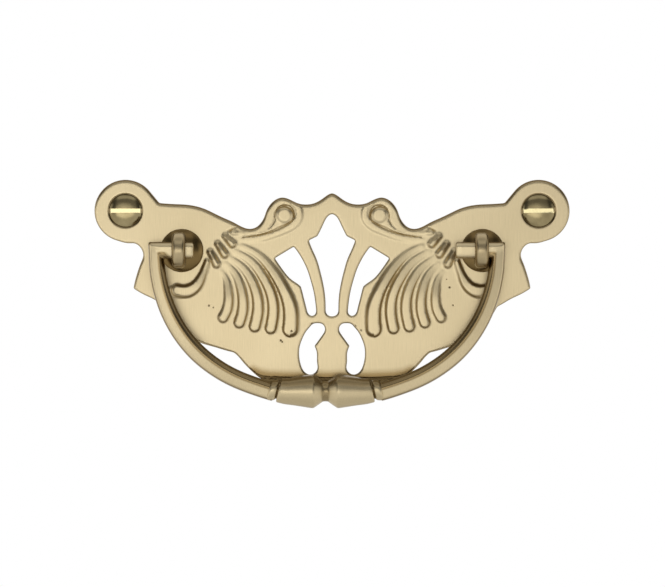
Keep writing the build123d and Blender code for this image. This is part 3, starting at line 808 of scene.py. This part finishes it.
def satin_brass():
    """Satin brass: upright brush lines from noise drawn out along Z, a slow drift of tone, and brown, for painted
    shade and dark marks, where the piece's own mark is high."""
    finish, shader, add, link = finish_tree("satin_brass")
    place = add("ShaderNodeTexCoord")
    brush_map = add("ShaderNodeMapping")
    brush_map.inputs["Scale"].default_value = (9000, 9000, 260)
    brush = add("ShaderNodeTexNoise")
    brush.inputs["Scale"].default_value = 1.0
    brush.inputs["Detail"].default_value = 3.0
    drift = add("ShaderNodeTexNoise")
    drift.inputs["Scale"].default_value = 55.0
    drift.inputs["Detail"].default_value = 4.0
    grain = add("ShaderNodeTexNoise")
    grain.inputs["Scale"].default_value = 2600.0
    grain.inputs["Detail"].default_value = 2.0
    link(place.outputs["Object"], brush_map.inputs["Vector"])
    link(brush_map.outputs["Vector"], brush.inputs["Vector"])
    link(place.outputs["Object"], drift.inputs["Vector"])
    link(place.outputs["Object"], grain.inputs["Vector"])
    tone = add("ShaderNodeMix", data_type="RGBA")
    tone.inputs["A"].default_value = SATIN_DEEP
    tone.inputs["B"].default_value = SATIN_PALE
    link(drift.outputs["Fac"], tone.inputs["Factor"])
    streak = add("ShaderNodeMix", data_type="RGBA", blend_type="MULTIPLY")
    streak.inputs["Factor"].default_value = 1.0
    shade = add("ShaderNodeMapRange")
    shade.inputs["From Min"].default_value = 0.3
    shade.inputs["From Max"].default_value = 0.7
    shade.inputs["To Min"].default_value = 0.9
    shade.inputs["To Max"].default_value = 1.04
    link(brush.outputs["Fac"], shade.inputs["Value"])
    link(tone.outputs["Result"], streak.inputs["A"])
    link(shade.outputs["Result"], streak.inputs["B"])
    # The piece's mark mixes in the brown of painted shade and dark marks.
    mark = add("ShaderNodeAttribute", attribute_name="shade_and_tarnish")
    brown = add("ShaderNodeMix", data_type="RGBA")
    brown.inputs["B"].default_value = SHADE_AND_TARNISH_BROWN
    dim = add("ShaderNodeMath", operation="MULTIPLY")
    dim.inputs[1].default_value = 0.95
    link(mark.outputs["Fac"], dim.inputs[0])
    link(dim.outputs["Value"], brown.inputs["Factor"])
    link(streak.outputs["Result"], brown.inputs["A"])
    link(brown.outputs["Result"], shader.inputs["Base Color"])
    rough = add("ShaderNodeMapRange")
    rough.inputs["To Min"].default_value = 0.3
    rough.inputs["To Max"].default_value = 0.42
    link(brush.outputs["Fac"], rough.inputs["Value"])
    marked_gloss = add("ShaderNodeMix", data_type="FLOAT")
    marked_gloss.inputs["B"].default_value = 0.24
    link(mark.outputs["Fac"], marked_gloss.inputs["Factor"])
    link(rough.outputs["Result"], marked_gloss.inputs["A"])
    link(marked_gloss.outputs["Result"], shader.inputs["Roughness"])
    relief = add("ShaderNodeBump")
    relief.inputs["Strength"].default_value = 0.12
    relief.inputs["Distance"].default_value = 0.00003
    both = add("ShaderNodeMath", operation="ADD")
    link(brush.outputs["Fac"], both.inputs[0])
    link(grain.outputs["Fac"], both.inputs[1])
    link(both.outputs["Value"], relief.inputs["Height"])
    link(relief.outputs["Normal"], shader.inputs["Normal"])
    shader.inputs["Metallic"].default_value = 1.0
    return finish


def polished_brass():
    """Polished brass of the screws: a hazy, warmer and cooler head, and a painted highlight along the slot. The slot
    is a band of Z in front of the plate's middle, from Object coordinates."""
    finish, shader, add, link = finish_tree("polished_brass")
    place = add("ShaderNodeTexCoord")
    haze = add("ShaderNodeTexNoise")
    haze.inputs["Scale"].default_value = 420.0
    haze.inputs["Detail"].default_value = 4.0
    link(place.outputs["Object"], haze.inputs["Vector"])
    tone = add("ShaderNodeMix", data_type="RGBA")
    tone.inputs["A"].default_value = HEAD_DEEP
    tone.inputs["B"].default_value = HEAD_PALE
    link(haze.outputs["Fac"], tone.inputs["Factor"])
    split = add("ShaderNodeSeparateXYZ")
    link(place.outputs["Object"], split.inputs["Vector"])
    height = add("ShaderNodeMath", operation="ABSOLUTE")
    link(split.outputs["Z"], height.inputs[0])
    band = add("ShaderNodeMapRange")
    band.inputs["From Min"].default_value = 0.0005
    band.inputs["From Max"].default_value = 0.0004
    link(height.outputs["Value"], band.inputs["Value"])
    forward = add("ShaderNodeMath", operation="LESS_THAN")
    forward.inputs[1].default_value = -0.0008
    link(split.outputs["Y"], forward.inputs[0])
    slot = add("ShaderNodeMath", operation="MULTIPLY")
    link(band.outputs["Result"], slot.inputs[0])
    link(forward.outputs["Value"], slot.inputs[1])
    # Painted highlight: the slot's band is mixed to bright brass.
    cut = add("ShaderNodeMix", data_type="RGBA")
    cut.inputs["B"].default_value = SLOT_HIGHLIGHT
    link(slot.outputs["Value"], cut.inputs["Factor"])
    link(tone.outputs["Result"], cut.inputs["A"])
    link(cut.outputs["Result"], shader.inputs["Base Color"])
    rough = add("ShaderNodeMapRange")
    rough.inputs["To Min"].default_value = 0.14
    rough.inputs["To Max"].default_value = 0.26
    link(haze.outputs["Fac"], rough.inputs["Value"])
    link(rough.outputs["Result"], shader.inputs["Roughness"])
    shader.inputs["Metallic"].default_value = 1.0
    return finish


satin = satin_brass()
polish = polished_brass()

plate = make_backplate()
bail = make_bail()
posts = {name: make_eye_post(f"post_{name}", side) for name, side in (("left", -1), ("right", 1))}
threads = {name: make_thread(f"thread_{name}", side) for name, side in (("left", -1), ("right", 1))}

for piece, body, slot, metal in (
    [(plate, "plate", "satin_brass", satin), (bail, "bail", "satin_brass", satin)]
    + [(post, "plate", "satin_brass", satin) for post in posts.values()]
    + [(thread, "plate", "polished_brass", polish) for thread in threads.values()]
):
    piece.data.materials.append(metal)
    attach(piece, body)
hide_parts("backplate")
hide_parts("drop_handle")
for name, post in posts.items():
    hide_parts(f"eye_post_{name}")
for node in ("screw_left", "screw_right"):
    metal_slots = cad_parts[node].data.materials
    metal_slots.clear()
    metal_slots.append(polish)


# ---------------------------------------------------------------- studio

# Greys of the room in front of the pull: by height, from straight down to straight up, and by how far aside
FRONT_LEVELS = [(0.0, 0.9), (0.48, 1.0), (0.54, 0.8), (0.61, 0.33), (0.8, 0.28), (0.84, 0.9), (0.92, 0.9),
                (1.0, 0.3)]
SIDE_LEVELS = [(0.46, 1.0), (0.58, 0.3), (0.84, 0.3), (0.93, 1.0)]


def grey_ramp(add, levels):
    """A ramp of greys through pairs of place and level."""
    ramp = add("ShaderNodeValToRGB")
    stops = ramp.color_ramp.elements
    for stop, (at, level) in ((stops[0], levels[0]), (stops[1], levels[-1])):
        stop.position, stop.color = at, (level, level, level, 1)
    for at, level in levels[1:-1]:
        stop = stops.new(at)
        stop.color = (level, level, level, 1)
    return ramp


def ray_switches(add, link):
    """Two switches from the light path: for rays from the camera, and for rays that metal or glass sends on."""
    path = add("ShaderNodeLightPath")
    sent_on = add("ShaderNodeMath", operation="MAXIMUM")
    link(path.outputs["Is Glossy Ray"], sent_on.inputs[0])
    link(path.outputs["Is Transmission Ray"], sent_on.inputs[1])
    return path.outputs["Is Camera Ray"], sent_on.outputs["Value"]


def make_floor():
    """Pale floor well below the pull, that goes over to the room's white away from it."""
    half = 1500.0
    level = -100.0
    line = np.linspace(-half, half, 13)
    x, y = np.meshgrid(line, line)
    verts = np.stack([x.ravel(), y.ravel(), np.full(x.size, level)], axis=1)
    ids = np.arange(x.size).reshape(x.shape)
    quads = np.stack([ids[:-1, :-1], ids[:-1, 1:], ids[1:, 1:], ids[1:, :-1]], axis=2).reshape(-1, 4)
    floor = new_piece("floor", verts, quads.tolist())
    pale, shader, add, link = finish_tree("pale_floor")
    shader.inputs["Base Color"].default_value = (0.86, 0.86, 0.85, 1)
    shader.inputs["Roughness"].default_value = 0.8
    place = add("ShaderNodeTexCoord")
    away = add("ShaderNodeVectorMath", operation="LENGTH")
    link(place.outputs["Object"], away.inputs[0])
    fade = add("ShaderNodeMapRange", interpolation_type="SMOOTHSTEP")
    fade.inputs["From Min"].default_value = 0.1
    fade.inputs["From Max"].default_value = 0.16
    fade.inputs["To Min"].default_value = 0.55
    link(away.outputs["Value"], fade.inputs["Value"])
    from_camera, sent_on = ray_switches(add, link)
    shown = add("ShaderNodeMath", operation="MAXIMUM")
    link(from_camera, shown.inputs[0])
    link(sent_on, shown.inputs[1])
    seen = add("ShaderNodeMath", operation="MULTIPLY")
    link(fade.outputs["Result"], seen.inputs[0])
    link(shown.outputs["Value"], seen.inputs[1])
    white = add("ShaderNodeEmission")
    both = add("ShaderNodeMixShader")
    link(seen.outputs["Value"], both.inputs["Fac"])
    link(shader.outputs["BSDF"], both.inputs[1])
    link(white.outputs["Emission"], both.inputs[2])
    link(both.outputs["Shader"], pale.node_tree.nodes["Material Output"].inputs["Surface"])
    floor.data.materials.append(pale)


def make_world():
    """White room: white to the camera all round, and white to metal and glass behind the pull and below it. In
    front, where the metal looks out past the camera, the room is dim above and to both sides, which shapes the
    relief, with a strip of light overhead."""
    world = bpy.data.worlds.new("white_room")
    bpy.context.scene.world = world
    world.use_nodes = True
    add, link = node_maker(world.node_tree)
    place = add("ShaderNodeTexCoord")
    split = add("ShaderNodeSeparateXYZ")
    link(place.outputs["Generated"], split.inputs["Vector"])
    lift = add("ShaderNodeMapRange")
    lift.inputs["From Min"].default_value = -1.0
    lift.inputs["From Max"].default_value = 1.0
    link(split.outputs["Z"], lift.inputs["Value"])
    front = grey_ramp(add, FRONT_LEVELS)
    link(lift.outputs["Result"], front.inputs["Fac"])
    aside = add("ShaderNodeMath", operation="ABSOLUTE")
    link(split.outputs["X"], aside.inputs[0])
    sides = grey_ramp(add, SIDE_LEVELS)
    link(aside.outputs["Value"], sides.inputs["Fac"])
    dimmed = add("ShaderNodeMix", data_type="RGBA", blend_type="MULTIPLY")
    dimmed.inputs["Factor"].default_value = 1.0
    link(front.outputs["Color"], dimmed.inputs["A"])
    link(sides.outputs["Color"], dimmed.inputs["B"])
    behind = add("ShaderNodeMapRange", interpolation_type="SMOOTHSTEP")
    behind.inputs["From Min"].default_value = -0.3
    behind.inputs["From Max"].default_value = 0.2
    link(split.outputs["Y"], behind.inputs["Value"])
    from_camera, sent_on = ray_switches(add, link)
    backdrop = add("ShaderNodeMath", operation="MULTIPLY")
    link(sent_on, backdrop.inputs[0])
    link(behind.outputs["Result"], backdrop.inputs[1])
    shown = add("ShaderNodeMath", operation="MAXIMUM")
    link(from_camera, shown.inputs[0])
    link(backdrop.outputs["Value"], shown.inputs[1])
    pick = add("ShaderNodeMix", data_type="RGBA")
    pick.inputs["B"].default_value = (1, 1, 1, 1)
    link(shown.outputs["Value"], pick.inputs["Factor"])
    link(dimmed.outputs["Result"], pick.inputs["A"])
    link(pick.outputs["Result"], world.node_tree.nodes["Background"].inputs["Color"])


def make_lamp(name, place, aim, wide, high, power):
    """Soft lamp, wide by high, at a place and turned to face its aim."""
    data = bpy.data.lights.new(name, "AREA")
    data.shape = "RECTANGLE"
    data.size = wide
    data.size_y = high
    data.energy = power
    lamp = bpy.data.objects.new(name, data)
    bpy.context.scene.collection.objects.link(lamp)
    lamp.location = place
    away = np.array(place) - np.array(aim)
    tilt = np.arctan2(np.hypot(away[0], away[1]), away[2])
    lamp.rotation_euler = (tilt, 0, np.arctan2(away[1], away[0]) + np.pi / 2)


def make_camera():
    """Camera straight on to the face, 142 mm of the plate's plane across the picture."""
    distance = 0.7
    across = 0.14198
    sensor = 36.0
    data = bpy.data.cameras.new("camera")
    data.sensor_width = sensor
    data.lens = sensor * distance / across
    camera = bpy.data.objects.new("camera", data)
    bpy.context.scene.collection.objects.link(camera)
    camera.location = (0.0001, -distance, -0.01763)
    camera.rotation_euler = (np.pi / 2, 0, 0)
    bpy.context.scene.camera = camera


make_floor()
make_world()
make_lamp("front_lamp", (-0.18, -1.0, -0.02), (0, 0, -0.02), 0.6, 0.6, 0.5)
make_lamp("key_lamp", (-0.08, -0.45, -0.045), (0, 0, -0.03), 0.36, 0.1, 0.13)
make_lamp("left_lamp", (-0.6, -0.15, 0.0), (0, 0, -0.02), 0.5, 0.5, 0.4)
make_lamp("right_lamp", (0.6, -0.15, 0.0), (0, 0, -0.02), 0.5, 0.5, 0.3)
make_camera()
bpy.context.scene.view_settings.view_transform = "Standard"
